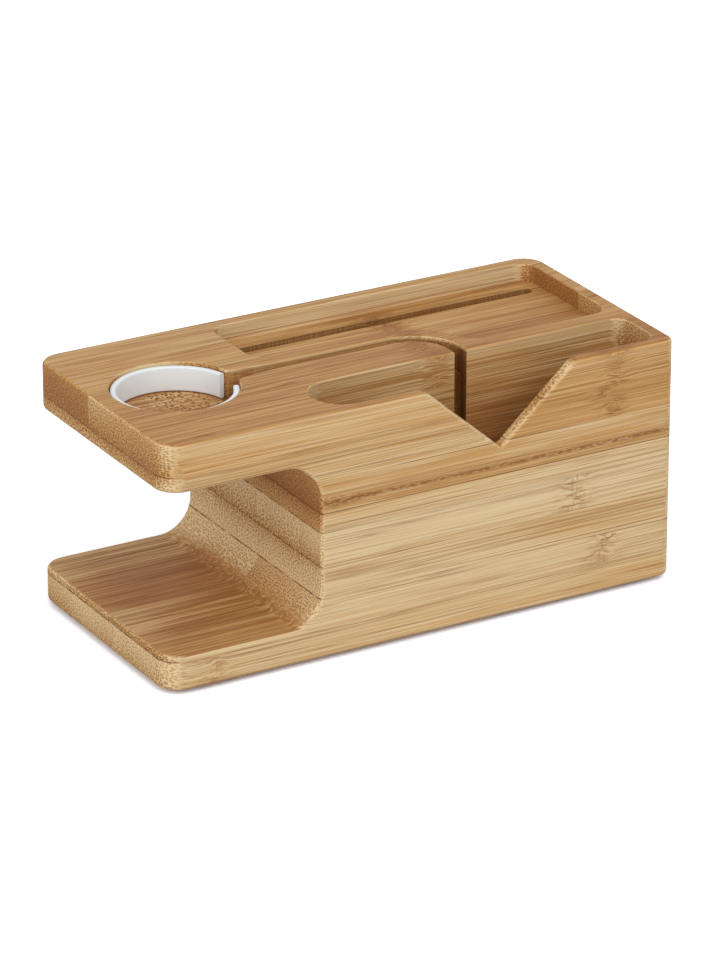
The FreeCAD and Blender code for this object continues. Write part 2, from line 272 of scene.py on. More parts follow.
class LinerSettings(bpy.types.PropertyGroup):
    """Size and colour of the charger liner."""

    colour: bpy.props.FloatVectorProperty(
        name="Plastic",
        description="Colour of the liner",
        subtype="COLOR",
        size=4,
        default=(0.88, 0.935, 0.97, 1.0),
    )
    wall: bpy.props.FloatProperty(
        name="Wall",
        description="Thickness of the liner's wall",
        subtype="DISTANCE",
        unit="LENGTH",
        default=0.0014,
    )
    edge_round: bpy.props.FloatProperty(
        name="Edge round",
        description="Radius on the edges of the liner's wall",
        subtype="DISTANCE",
        unit="LENGTH",
        default=0.0004,
    )
    gap: bpy.props.FloatProperty(
        name="Gap",
        description="Angle that the liner leaves open",
        subtype="ANGLE",
        unit="ROTATION",
        default=math.radians(32.0),
    )
    gap_turn: bpy.props.FloatProperty(
        name="Gap turn",
        description="Direction of the middle of the gap, from the length of the block",
        subtype="ANGLE",
        unit="ROTATION",
        default=math.radians(-3.6),
    )


class BumperSettings(bpy.types.PropertyGroup):
    """Size and colour of the bumper feet."""

    colour: bpy.props.FloatVectorProperty(
        name="Silicone",
        description="Colour of the bumper feet",
        subtype="COLOR",
        size=4,
        default=(0.86, 0.86, 0.84, 1.0),
    )
    base_radius: bpy.props.FloatProperty(
        name="Base radius",
        description="Radius of a foot where it meets the floor",
        subtype="DISTANCE",
        unit="LENGTH",
        default=0.0036,
    )


class StageSettings(bpy.types.PropertyGroup):
    """Camera, lamps and floor."""

    azimuth: bpy.props.FloatProperty(
        name="Camera azimuth",
        description="Turn of the camera about the object",
        subtype="ANGLE",
        unit="ROTATION",
        default=math.radians(-29.907),
    )
    elevation: bpy.props.FloatProperty(
        name="Camera elevation",
        description="Height of the camera above the horizon",
        subtype="ANGLE",
        unit="ROTATION",
        default=math.radians(23.034),
    )
    distance: bpy.props.FloatProperty(
        name="Camera distance",
        description="Distance from the camera to the middle of the object",
        subtype="DISTANCE",
        unit="LENGTH",
        default=1.30715,
    )
    lens: bpy.props.FloatProperty(
        name="Lens",
        description="Focal length in millimetres",
        default=201.59,
    )
    front_light: bpy.props.FloatProperty(
        name="Front lamp",
        description="Light of the front lamp on a surface that faces it, where 1 shows a colour as it is",
        default=0.34,
    )
    left_light: bpy.props.FloatProperty(
        name="Left lamp",
        description="Light of the left lamp on a surface that faces it",
        default=0.26,
    )
    top_light: bpy.props.FloatProperty(
        name="Top lamp",
        description="Light of the top lamp on a surface that faces it",
        default=0.02,
    )
    sky_strength: bpy.props.FloatProperty(
        name="Surrounding light",
        description="Strength of the white light from all round",
        default=0.58,
    )
    floor_colour: bpy.props.FloatVectorProperty(
        name="Floor",
        description="Colour of the floor",
        subtype="COLOR",
        size=4,
        default=(0.82, 0.82, 0.82, 1.0),
    )


class Nodes:
    """Adds nodes to one tree. A value is a number, a tuple or the output socket of another node."""

    def __init__(self, tree):
        self.tree = tree

    def feed(self, socket, value):
        if isinstance(value, bpy.types.NodeSocket):
            self.tree.links.new(value, socket)
        else:
            socket.default_value = value

    def add(self, kind, values=None, **settings):
        node = self.tree.nodes.new(kind)
        for name, value in settings.items():
            setattr(node, name, value)
        for socket, value in (values or {}).items():
            self.feed(node.inputs[socket], value)
        return node

    def math(self, operation, *values, clamp=False):
        node = self.add("ShaderNodeMath", dict(enumerate(values)), operation=operation, use_clamp=clamp)
        return node.outputs[0]

    def vector(self, operation, *values):
        node = self.add("ShaderNodeVectorMath", dict(enumerate(values)), operation=operation)
        return node.outputs[0]

    def scaled(self, vector, factor):
        node = self.add("ShaderNodeVectorMath", {0: vector, "Scale": factor}, operation="SCALE")
        return node.outputs[0]

    def joined(self, x, y, z):
        return self.add("ShaderNodeCombineXYZ", {0: x, 1: y, 2: z}).outputs[0]

    def parts(self, vector):
        return self.add("ShaderNodeSeparateXYZ", {0: vector}).outputs

    def ranged(self, value, low, high, to_low=0.0, to_high=1.0, smooth=True):
        values = {0: value, 1: low, 2: high, 3: to_low, 4: to_high}
        kind = "SMOOTHSTEP" if smooth else "LINEAR"
        return self.add("ShaderNodeMapRange", values, interpolation_type=kind).outputs[0]

    def bell(self, value):
        """A bell curve that is 1 where the value is 0."""
        return self.math("EXPONENT", self.math("MULTIPLY", self.math("MULTIPLY", value, value), -1.0))

    def noise(self, place, scale=1.0, detail=2.0):
        """The value and the colour of a noise."""
        return self.add("ShaderNodeTexNoise", {"Vector": place, "Scale": scale, "Detail": detail}).outputs

    def pattern(self, place, name, detail=1.0):
        """The value and the colour of a noise that repeats as this pattern of the wood does."""
        return self.noise(self.vector("MULTIPLY", place, PATTERNS[name]), detail=detail)

    def cells(self, place, randomness, dimensions):
        """How far the nearest of scattered points is, and a colour by chance for each point."""
        values = {"Vector": place, "Scale": 1.0, "Randomness": randomness}
        return self.add("ShaderNodeTexVoronoi", values, voronoi_dimensions=dimensions).outputs

    def mixed(self, factor, first, second):
        """The second colour laid over the first by the factor."""
        node = self.add("ShaderNodeMix", data_type="RGBA")
        self.feed(node.inputs[0], factor)
        self.feed(node.inputs[6], first)
        self.feed(node.inputs[7], second)
        return node.outputs[2]

    def bump(self, height, strength, distance):
        """The normal of a surface with this relief."""
        values = {"Height": height, "Strength": strength, "Distance": distance}
        return self.add("ShaderNodeBump", values).outputs[0]

    def use(self, tree, values):
        """A group node of this tree, with its inputs set."""
        node = self.add("ShaderNodeGroup", node_tree=tree)
        for socket, value in values.items():
            self.feed(node.inputs[socket], value)
        return node.outputs


def new_tree(kind, name, inputs, outputs):
    """An empty node tree of this kind with these sockets, and what it takes and gives."""
    tree = bpy.data.node_groups.new(name, kind + "NodeTree")
    for label, socket in inputs.items():
        tree.interface.new_socket(name=label, in_out="INPUT", socket_type="NodeSocket" + socket)
    for label, socket in outputs.items():
        tree.interface.new_socket(name=label, in_out="OUTPUT", socket_type="NodeSocket" + socket)
    nodes = Nodes(tree)
    taken = nodes.add("NodeGroupInput").outputs
    given = nodes.add("NodeGroupOutput").inputs
    return nodes, taken, given


def make_figure_group():
    """The figure of bamboo in solid wood: bands, thin lines, fibre bundles and the knuckles of the stem."""
    nodes, taken, given = new_tree(
        "Shader",
        "Bamboo figure",
        {
            "Position": "Vector",
            "Seed": "Float",
            "Rind": "Float",
            "Bundle Pitch": "Float",
            "Knuckle Place": "Float",
            "Knuckle Strength": "Float",
            "Floor Knuckle Place": "Float",
            "Floor Knuckle Strength": "Float",
        },
        {
            "Bands": "Float",
            "Threads": "Float",
            "Lines": "Float",
            "Dots": "Float",
            "Knuckle": "Float",
            "Marks": "Float",
            "Spots": "Float",
            "Spotted": "Float",
            "Drift": "Float",
        },
    )
    position = taken["Position"]
    moved = nodes.vector("ADD", position, nodes.scaled(SEED_STEP, taken["Seed"]))

    # A knuckle fades out along the strip, with a ragged front
    ragged = nodes.ranged(nodes.pattern(moved, "ragged", 2.0)[0], 0.25, 0.75, -2.2, 2.2, smooth=False)

    def knuckle_of(kind, reach):
        along = nodes.math("SUBTRACT", nodes.parts(position)[0], taken[kind + " Place"])
        fall = nodes.bell(nodes.math("DIVIDE", nodes.math("ADD", along, ragged), reach))
        return nodes.math("MULTIPLY", fall, taken[kind + " Strength"])

    near = knuckle_of("Knuckle", KNUCKLE_REACH)
    core = knuckle_of("Knuckle", CORE_REACH)
    nodes.feed(given["Knuckle"], near)

    def shifts(name, reach):
        """Random moves across the grain, of up to half the reach."""
        moves = nodes.vector("SUBTRACT", nodes.pattern(moved, name)[1], (0.5, 0.5, 0.5))
        return nodes.vector("MULTIPLY", moves, (0.0, reach, reach))

    # Fibres wander a little everywhere, and swirl at a knuckle
    warped = nodes.vector("ADD", moved, shifts("wander", 1.3))
    warped = nodes.vector("ADD", warped, nodes.scaled(shifts("swirl", 3.4), near))
    nodes.feed(given["Bands"], nodes.ranged(nodes.pattern(warped, "bands", 2.0)[0], 0.32, 0.68))
    nodes.feed(given["Threads"], nodes.ranged(nodes.pattern(warped, "threads")[0], 0.3, 0.7, -1.0, 1.0))
    nodes.feed(given["Drift"], nodes.ranged(nodes.pattern(moved, "drift")[0], 0.3, 0.7, -1.0, 1.0))

    # Thin lines run where one noise crosses its middle, and another noise lets some of them show
    ridge = nodes.math("ABSOLUTE", nodes.math("SUBTRACT", nodes.pattern(warped, "lines", 2.0)[0], 0.5))
    shown = nodes.ranged(nodes.pattern(moved, "shown")[0], 0.36, 0.60, 0.35, 1.0)
    lines = nodes.math("MULTIPLY", nodes.ranged(ridge, 0.0, 0.055, 1.0, 0.0), shown)

    # Each bundle is a dot where the wood is cut across, and a long line where it is cut along
    across = nodes.math("DIVIDE", 1.0, taken["Bundle Pitch"])
    _, width, height = nodes.parts(warped)
    place = nodes.joined(
        nodes.math("MULTIPLY", width, nodes.math("MULTIPLY", across, 0.72)),
        nodes.math("MULTIPLY", height, across),
        0.0,
    )
    bundles = nodes.cells(place, 0.7, "2D")

    # Bundles are larger towards the rind, and only some of them show as lines
    radius = nodes.math("MULTIPLY_ADD", taken["Rind"], 0.14, 0.30)
    dots = nodes.ranged(
        bundles["Distance"],
        nodes.math("SUBTRACT", radius, 0.12),
        nodes.math("ADD", radius, 0.08),
        1.0,
        0.0,
    )
    chosen = nodes.ranged(nodes.parts(bundles["Color"])[0], 0.55, 1.0)
    nodes.feed(given["Lines"], nodes.math("MAXIMUM", lines, nodes.math("MULTIPLY", dots, chosen)))
    nodes.feed(given["Dots"], dots)

    # Short dashes along the grain beside a knuckle, and ticks across it in its core
    dashes = nodes.ranged(nodes.pattern(warped, "dashes")[0], 0.51, 0.62)
    dashes = nodes.math("MULTIPLY", dashes, near)
    ticks = nodes.ranged(nodes.pattern(moved, "ticks")[0], 0.50, 0.64, 0.0, 0.55)
    ticks = nodes.math("MULTIPLY", ticks, core)
    nodes.feed(given["Marks"], nodes.math("MAXIMUM", dashes, ticks))

    # Bundles that cross the strip at a knuckle, as dark spots
    crossing = nodes.cells(nodes.vector("MULTIPLY", moved, PATTERNS["spots"]), 0.8, "3D")
    spots = nodes.ranged(crossing["Distance"], 0.34, 0.50, 1.0, 0.0)
    spotted = nodes.math("MAXIMUM", *(knuckle_of(kind, SPOT_REACH) for kind in ("Knuckle", "Floor Knuckle")))
    spotted = nodes.ranged(spotted, 0.2, 0.6)
    nodes.feed(given["Spots"], nodes.math("MULTIPLY", spots, spotted))
    nodes.feed(given["Spotted"], spotted)
    return nodes.tree


def make_border_group():
    """The glue lines at a strip's borders, in the planes through its lowest and highest corners."""
    nodes, taken, given = new_tree(
        "Shader",
        "Strip borders",
        {
            "Position": "Vector",
            "Low": "Vector",
            "High": "Vector",
            "Width": "Float",
            "Joint Strength": "Float",
            "Dark Seam": "Float",
        },
        {"Glue": "Float"},
    )
    position = taken["Position"]

    def distances(corner):
        """How far a place is from this corner along the three axes."""
        return nodes.parts(nodes.vector("ABSOLUTE", nodes.vector("SUBTRACT", position, taken[corner])))

    to_low = distances("Low")
    to_high = distances("High")
    to_seam = nodes.math("MINIMUM", to_low[2], to_high[2])
    to_joint = nodes.math("MINIMUM", to_low[1], to_high[1])
    line = nodes.math(
        "MAXIMUM",
        nodes.ranged(to_seam, 0.0, taken["Width"], 1.0, 0.0),
        nodes.ranged(to_joint, 0.0, taken["Width"], taken["Joint Strength"], 0.0),
    )

    # Glue shows in stretches, but all along the dark seam
    off_seam = nodes.math("ABSOLUTE", nodes.math("SUBTRACT", nodes.parts(position)[2], taken["Dark Seam"]))
    least = nodes.ranged(off_seam, 0.3, 0.8, 0.9, 0.15)
    stain = nodes.ranged(nodes.pattern(position, "stain", 3.0)[0], 0.3, 0.7, least, 0.85)
    nodes.feed(given["Glue"], nodes.math("MULTIPLY", line, stain))
    return nodes.tree


def depth_in_box(nodes, position, low, high):
    """How deep a place is inside a box, below zero outside it."""
    depths = [
        *nodes.parts(nodes.vector("SUBTRACT", position, low)),
        *nodes.parts(nodes.vector("SUBTRACT", high, position)),
    ]
    depth = depths[0]
    for other in depths[1:]:
        depth = nodes.math("MINIMUM", depth, other)
    return depth


def make_place_group():
    """Which way a surface is cut, whether it is in a hollow of the body, where its slanted faces and round
    edges get painted highlight, and where painted shade falls in narrow cuts and round the liner's foot.
    """
    nodes, taken, given = new_tree(
        "Shader",
        "Cut of the wood",
        {"Position": "Vector", "Normal": "Vector", "Body Low": "Vector", "Body High": "Vector"},
        {
            "End Grain": "Float",
            "Slant": "Float",
            "Flat": "Float",
            "Hollow": "Float",
            "Edge": "Float",
            "Painted Shade": "Float",
        },
    )
    position = taken["Position"]
    facing = nodes.parts(nodes.vector("ABSOLUTE", taken["Normal"]))
    end_grain = nodes.ranged(facing[0], 0.25, 0.75)
    along = nodes.math("SUBTRACT", 1.0, end_grain)
    nodes.feed(given["End Grain"], end_grain)
    # Painted highlight: faces that turn between the ends and the front or back, as on rounded corners, are
    # made paler
    nodes.feed(given["Slant"], nodes.ranged(nodes.math("MINIMUM", facing[0], facing[1]), 0.10, 0.55))
    nodes.feed(given["Flat"], nodes.math("MULTIPLY", nodes.ranged(facing[2], 0.45, 0.85), along))

    # A hollow is away from every outer face of the body; the deeper a place lies in it, the more painted
    # shade its wood gets
    depth = depth_in_box(nodes, position, taken["Body Low"], taken["Body High"])
    hollow = nodes.ranged(depth, 2.0, 16.0, smooth=False)
    nodes.feed(given["Hollow"], nodes.math("MULTIPLY", hollow, along))

    # Painted highlight on the round edges near the outer faces, which face between the three directions
    square = nodes.math("MAXIMUM", nodes.math("MAXIMUM", facing[0], facing[1]), facing[2])
    edge_highlight = nodes.ranged(square, 0.70, 0.97, 1.0, 0.0)
    nodes.feed(given["Edge"], nodes.math("MULTIPLY", edge_highlight, nodes.ranged(depth, 1.5, 4.0, 1.0, 0.0)))

    # Painted shade makes the walls of the narrow cuts darker
    cut_shade = 0.0
    for low, high, strength in CUTS_WITH_PAINTED_SHADE.values():
        inside = nodes.ranged(depth_in_box(nodes, position, low, high), 0.0, 0.04)
        cut_shade = nodes.math("MAXIMUM", cut_shade, nodes.math("MULTIPLY", inside, strength))

    # A painted shadow lies in a ring round the foot of the charger liner
    offset = nodes.vector("MULTIPLY", nodes.vector("SUBTRACT", position, LINER_SHADOW_MIDDLE), (1.0, 1.0, 0.0))
    distance = nodes.add("ShaderNodeVectorMath", {0: offset}, operation="LENGTH").outputs["Value"]
    height = nodes.parts(position)[2]
    start, full, end = LINER_SHADOW_DISTANCES
    lowest, highest = LINER_SHADOW_LEVELS
    liner_shadow = nodes.ranged(distance, start, full)
    liner_shadow = nodes.math("MULTIPLY", liner_shadow, nodes.math("LESS_THAN", distance, end))
    liner_shadow = nodes.math("MULTIPLY", liner_shadow, nodes.math("LESS_THAN", height, highest))
    liner_shadow = nodes.math("MULTIPLY", liner_shadow, nodes.math("GREATER_THAN", height, lowest))

    # Upright chatter marks of the cutter run over both the painted shade and the painted shadow
    chatter = nodes.ranged(nodes.pattern(position, "chatter")[0], 0.36, 0.64, 0.82, 1.10)
    nodes.feed(given["Painted Shade"], nodes.math("MULTIPLY", nodes.math("MAXIMUM", cut_shade, liner_shadow), chatter))
    return nodes.tree


def make_strip_group(figure, borders, places):
    """Colour, roughness and height of one bamboo strip."""
    shared = {
        "Position": "Vector",
        "Seed": "Float",
        "Bundle Pitch": "Float",
        "Knuckle Place": "Float",
        "Knuckle Strength": "Float",
        "Floor Knuckle Place": "Float",
        "Floor Knuckle Strength": "Float",
        "Normal": "Vector",
        "Body Low": "Vector",
        "Body High": "Vector",
        "Low": "Vector",
        "High": "Vector",
        "Width": "Float",
        "Dark Seam": "Float",
    }
    own = {
        "Tone": "Float",
        "End Tone": "Float",
        "Rind From": "Float",
        "Rind To": "Float",
        "Vein": "Float",
        "Vein Height": "Float",
        "Pale": "Color",
        "Honey": "Color",
        "Brown": "Color",
        "End": "Color",
        "Fibre": "Color",
        "Glue Colour": "Color",
    }
    outputs = {"Colour": "Color", "Roughness": "Float", "Height": "Float"}
    nodes, taken, given = new_tree("Shader", "Bamboo strip", {**shared, **own}, outputs)

    def used(tree, **more):
        """A group node that takes the inputs of the same names."""
        names = [item.name for item in tree.interface.items_tree if item.in_out == "INPUT"]
        return nodes.use(tree, {**{name: taken[name] for name in names if name in shared}, **more})

    x, _, z = nodes.parts(taken["Position"])
    rind = nodes.ranged(z, taken["Rind From"], taken["Rind To"], smooth=False)
    grain = used(figure, Rind=rind)
    cut = used(places)
    end_grain = cut["End Grain"]
    along = nodes.math("SUBTRACT", 1.0, end_grain)

    # The seams between plies show more on cut ends, and the joints between strips less
    seam_width = nodes.math("MULTIPLY", taken["Width"], nodes.math("MULTIPLY_ADD", end_grain, 0.6, 1.0))
    joint_strength = nodes.math("MULTIPLY_ADD", end_grain, -0.65, 0.8)
    seam = used(borders, **{"Width": seam_width, "Joint Strength": joint_strength})["Glue"]
    seam = nodes.math("MULTIPLY", seam, nodes.math("MULTIPLY_ADD", end_grain, 0.5, 1.0), clamp=True)

    # How dark the wood is here: the strip's own tone, and what adds to it with its weight
    sunk = nodes.math("MULTIPLY", nodes.ranged(cut["Hollow"], 0.22, 0.34), cut["Flat"])
    spotted = nodes.math("MULTIPLY", grain["Spotted"], sunk)
    tone = taken["Tone"]
    weights = {
        grain["Drift"]: 0.16,
        nodes.math("SUBTRACT", rind, 0.5): 0.30,
        nodes.math("MULTIPLY", nodes.math("POWER", rind, 3.0), end_grain): 0.60,
        nodes.math("MULTIPLY", nodes.math("SUBTRACT", grain["Bands"], 0.5), along): 0.12,
        nodes.math("MULTIPLY", grain["Threads"], along): 0.40,
        # Painted shade: threads stand out more the deeper the wood lies in a hollow
        nodes.math("MULTIPLY", grain["Threads"], cut["Hollow"]): 0.75,
        spotted: -0.45,
        end_grain: taken["End Tone"],
        # Painted highlight on slanted faces
        cut["Slant"]: -0.36,
        cut["Flat"]: 1.05,
        # Painted shade: the wood darkens the deeper it lies in a hollow of the body
        cut["Hollow"]: 0.8,
        nodes.math("POWER", cut["Hollow"], 3.0): 0.6,
        # Painted highlight on round edges
        cut["Edge"]: -0.45,
        # Painted shade in the narrow cuts and round the foot of the charger liner
        cut["Painted Shade"]: 2.0,
        grain["Knuckle"]: 0.22,
        nodes.math("MULTIPLY", grain["Knuckle"], cut["Flat"]): 0.40,
    }
    for effect, weight in weights.items():
        tone = nodes.math("MULTIPLY_ADD", effect, weight, tone)
    ground = nodes.mixed(nodes.math("MULTIPLY", end_grain, 0.75), taken["Pale"], taken["End"])
    wood = nodes.mixed(nodes.math("ADD", tone, 0.0, clamp=True), ground, taken["Honey"])
    wood = nodes.mixed(nodes.math("SUBTRACT", tone, 1.0, clamp=True), wood, taken["Brown"])

    # Lines and marks on surfaces cut along the grain, and spots instead of both on sunk floors at a knuckle
    line_ink = nodes.math("MULTIPLY_ADD", cut["Flat"], 0.12, 0.56)
    # Painted shade: lines are darker in the body's hollows
    line_ink = nodes.math("MULTIPLY_ADD", cut["Hollow"], 0.25, line_ink)
    ink = nodes.math("MULTIPLY", grain["Lines"], line_ink)
    ink = nodes.math("MAXIMUM", ink, nodes.math("MULTIPLY", grain["Marks"], 0.76))
    ink = nodes.math("MULTIPLY", ink, nodes.math("MULTIPLY_ADD", spotted, -0.9, 1.0))
    ink = nodes.math("MAXIMUM", ink, nodes.math("MULTIPLY", grain["Spots"], sunk))

    # The vein is a ragged dark band along the strip
    slope = nodes.ranged(x, VEIN_START, VEIN_END, *VEIN_SLOPE, smooth=False)
    half_width = nodes.ranged(x, VEIN_START, VEIN_THIN, *VEIN_HALF_WIDTHS)
    off = nodes.math("SUBTRACT", z, nodes.math("ADD", taken["Vein Height"], slope))
    band = nodes.bell(nodes.math("DIVIDE", off, half_width))
    patchy = nodes.ranged(nodes.pattern(taken["Position"], "vein", 4.0)[0], 0.36, 0.58, 0.35, 1.0)
    vein = nodes.math("MULTIPLY", nodes.math("MULTIPLY", band, patchy), taken["Vein"])
    ink = nodes.math("MULTIPLY", nodes.math("MAXIMUM", ink, vein), along)

    # Dots on surfaces cut across the grain
    dot_ink = nodes.ranged(tone, 0.0, 1.0, 0.60, 0.86, smooth=False)
    dots = nodes.math("MULTIPLY", nodes.math("MULTIPLY", grain["Dots"], end_grain), dot_ink)
    ink = nodes.math("MAXIMUM", ink, dots)

    # Fibre, the painted shade of the narrow cuts and the liner's foot, and glue lie over the wood in turn
    wood = nodes.mixed(ink, wood, taken["Fibre"])
    shade_share = nodes.math("MULTIPLY", nodes.math("POWER", cut["Painted Shade"], 2.0), 0.85, clamp=True)
    shade_colour = nodes.mixed(0.35, taken["Fibre"], (0.0, 0.0, 0.0, 1.0))
    wood = nodes.mixed(shade_share, wood, shade_colour)
    nodes.feed(given["Colour"], nodes.mixed(seam, wood, taken["Glue Colour"]))

    # Inked places and cut ends are rougher, and ink and glue lie a little lower
    rough = nodes.math("MULTIPLY_ADD", ink, 0.15, 0.50)
    nodes.feed(given["Roughness"], nodes.math("MULTIPLY_ADD", end_grain, 0.10, rough))
    height = nodes.math("MULTIPLY_ADD", ink, -1.0, 1.0)
    nodes.feed(given["Height"], nodes.math("MULTIPLY_ADD", seam, -0.5, height))
    return nodes.tree


def new_material(name):
    """An empty node material, its nodes and its shader."""
    material = bpy.data.materials.new(name)
    material.use_nodes = True
    material.node_tree.nodes.clear()
    nodes = Nodes(material.node_tree)
    shader = nodes.add("ShaderNodeBsdfPrincipled")
    nodes.add("ShaderNodeOutputMaterial", {"Surface": shader.outputs[0]})
    return material, nodes, shader.inputs


def in_millimetres(corners):
    """The lowest and highest corners of a box, from metres."""
    return [Vector(corner) / MILLIMETRE for corner in corners]


def ply_of(name):
    """The ply that a strip is in, by the strip's name."""
    return name[: name.index("_strip")]


class DressStrips(bpy.types.Operator):
    """Give each bamboo strip a material of its own, with its glue lines where the strip ends"""

    bl_idname = "organizer.dress_strips"
    bl_label = "Dress bamboo strips"

    def execute(self, context):
        settings = context.scene.organizer_bamboo
        strip_group = make_strip_group(make_figure_group(), make_border_group(), make_place_group())
        chance = random.Random(7)
        names = sorted(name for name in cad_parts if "_strip_" in name)
        for name in names:
            material = self.make_material(name, strip_group, settings, chance)
            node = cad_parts[name]
            node.data.materials.clear()
            node.data.materials.append(material)
        return {"FINISHED"}

    def make_material(self, name, strip_group, settings, chance):
        tone, end_tone, rind_side = PLIES[ply_of(name)]
        tone = STRIP_TONES.get(name, tone + chance.uniform(-0.12, 0.12))
        end_tone = END_TONES.get(name, end_tone)
        knuckle_place, knuckle_strength = KNUCKLES.get(name, NO_KNUCKLE)
        floor_place, floor_strength = FLOOR_KNUCKLES.get(name, NO_KNUCKLE)
        body_low, body_high = in_millimetres(CAD_BOX)
        strip_low, strip_high = in_millimetres(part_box(name))
        heights = (strip_low.z, strip_high.z)
        low, high = self.borders(name)
        material, nodes, shader = new_material("bamboo_" + name)
        coordinates = nodes.add("ShaderNodeTexCoord").outputs
        surface = nodes.use(
            strip_group,
            {
                "Position": nodes.scaled(coordinates["Object"], 1.0 / MILLIMETRE),
                "Normal": coordinates["Normal"],
                "Body Low": tuple(body_low),
                "Body High": tuple(body_high),
                "Seed": chance.uniform(1.0, 40.0),
                "Tone": tone,
                "End Tone": end_tone,
                "Rind From": heights[rind_side < 0],
                "Rind To": heights[rind_side > 0],
                "Bundle Pitch": settings.bundle_pitch / MILLIMETRE * chance.uniform(0.9, 1.2),
                "Knuckle Place": knuckle_place,
                "Knuckle Strength": knuckle_strength,
                "Floor Knuckle Place": floor_place,
                "Floor Knuckle Strength": floor_strength,
                "Vein": VEIN_INK if name == VEINED_STRIP else 0.0,
                "Vein Height": strip_low.z + VEIN_RISE,
                "Low": low,
                "High": high,
                "Width": settings.glue_width / MILLIMETRE,
                "Dark Seam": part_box(VEINED_STRIP)[0][2] / MILLIMETRE,
                "Pale": settings.pale,
                "Honey": settings.honey,
                "Brown": settings.brown,
                "End": settings.end,
                "Fibre": settings.fibre,
                "Glue Colour": settings.glue,
            },
        )
        shader["Specular IOR Level"].default_value = 0.22
        nodes.feed(shader["Base Color"], surface["Colour"])
        nodes.feed(shader["Roughness"], surface["Roughness"])
        nodes.feed(shader["Normal"], nodes.bump(surface["Height"], 0.4, 0.00012))
        return material

    def borders(self, name):
        """The strip's corners in millimetres, moved far off on the sides where no other strip is glued on."""
        far = 1000.0
        near = 0.05
        body_low, body_high = in_millimetres(CAD_BOX)
        strip_low, strip_high = in_millimetres(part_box(name))
        low = [a - far if a - b < near else a for a, b in zip(strip_low, body_low)]
        high = [a + far if b - a < near else a for a, b in zip(strip_high, body_high)]
        if ply_of(name) == "bottom_ply":
            low[2] -= far
        return tuple(low), tuple(high)


def finished_piece(name, tree, inputs, body, slot, *nodes):
    """A plain mesh made by this geometry tree, that stands for these CAD nodes and moves with their body."""
    carrier = bpy.data.objects.new(name + "_carrier", bpy.data.meshes.new(name + "_carrier"))
    bpy.context.scene.collection.objects.link(carrier)
    modifier = carrier.modifiers.new("shape", "NODES")
    modifier.node_group = tree
    sockets = {item.name: item.identifier for item in tree.interface.items_tree if item.in_out == "INPUT"}
    for label, value in inputs.items():
        modifier[sockets[label]] = value
    graph = bpy.context.evaluated_depsgraph_get()
    mesh = bpy.data.meshes.new_from_object(carrier.evaluated_get(graph))
    mesh.name = name
    bpy.data.objects.remove(carrier)
    piece = bpy.data.objects.new(name, mesh)
    bpy.context.scene.collection.objects.link(piece)
    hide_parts(*nodes)
    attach(piece, body)


def darker(colour, share):
    """This share of a colour's light."""
    return tuple(channel * share for channel in colour[:3]) + (1.0,)


class MakeLiner(bpy.types.Operator):
    """Sweep the charger liner's wall round its arc"""

    bl_idname = "organizer.make_liner"
    bl_label = "Make charger liner"

    def execute(self, context):
        settings = context.scene.organizer_liner
        low, high = (Vector(corner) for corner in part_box("watch_charger_liner"))
        middle = (low + high) / 2
        radius = (high.y - low.y) / 2
        middle.x = low.x + radius
        inputs = {
            "Middle": tuple(middle),
            "Radius": radius - settings.wall / 2,
            "Wall": settings.wall,
            "Height": high.z - low.z,
            "Edge Round": settings.edge_round,
            "Start": settings.gap_turn + settings.gap / 2,
            "Sweep": math.tau - settings.gap,
            "Material": self.make_material(settings),
        }
        finished_piece(
            "charger_liner", self.make_tree(), inputs, "liner", "white_plastic", "watch_charger_liner"
        )
        return {"FINISHED"}

    def make_tree(self):
        nodes, taken, given = new_tree(
            "Geometry",
            "Charger liner",
            {
                "Middle": "Vector",
                "Radius": "Float",
                "Wall": "Float",
                "Height": "Float",
                "Edge Round": "Float",
                "Start": "Float",
                "Sweep": "Float",
                "Material": "Material",
            },
            {"Geometry": "Geometry"},
        )
        arc = nodes.add(
            "GeometryNodeCurveArc",
            {
                "Resolution": LINER_STEPS,
                "Radius": taken["Radius"],
                "Start Angle": taken["Start"],
                "Sweep Angle": taken["Sweep"],
            },
        )
        profile = nodes.add(
            "GeometryNodeCurvePrimitiveQuadrilateral", {"Width": taken["Wall"], "Height": taken["Height"]}
        )
        rounded = nodes.add(
            "GeometryNodeFilletCurve",
            {"Curve": profile.outputs[0], "Count": EDGE_STEPS, "Radius": taken["Edge Round"]},
            mode="POLY",
        )
        wall = nodes.add(
            "GeometryNodeCurveToMesh",
            {"Curve": arc.outputs[0], "Profile Curve": rounded.outputs[0], "Fill Caps": True},
        )
        placed = nodes.add("GeometryNodeTransform", {0: wall.outputs[0], "Translation": taken["Middle"]})
        real = nodes.add("GeometryNodeRealizeInstances", {0: placed.outputs[0]})
        smooth = nodes.add("GeometryNodeSetShadeSmooth", {"Geometry": real.outputs[0]})
        coated = nodes.add(
            "GeometryNodeSetMaterial", {"Geometry": smooth.outputs[0], "Material": taken["Material"]}
        )
        nodes.feed(given[0], coated.outputs[0])
        return nodes.tree

    def make_material(self, settings):
        material, nodes, shader = new_material("liner_white_plastic")
        position = nodes.scaled(nodes.add("ShaderNodeTexCoord").outputs["Object"], 1.0 / MILLIMETRE)
        speckle = nodes.noise(position, scale=6.0, detail=3.0)[0]
        cloud = nodes.noise(position, scale=0.12)[0]
        nodes.feed(shader["Base Color"], nodes.mixed(cloud, darker(settings.colour, 0.93), settings.colour))
        nodes.feed(shader["Roughness"], nodes.ranged(speckle, 0.3, 0.7, 0.34, 0.48))
        nodes.feed(shader["Normal"], nodes.bump(speckle, 0.12, 0.00005))
        return material


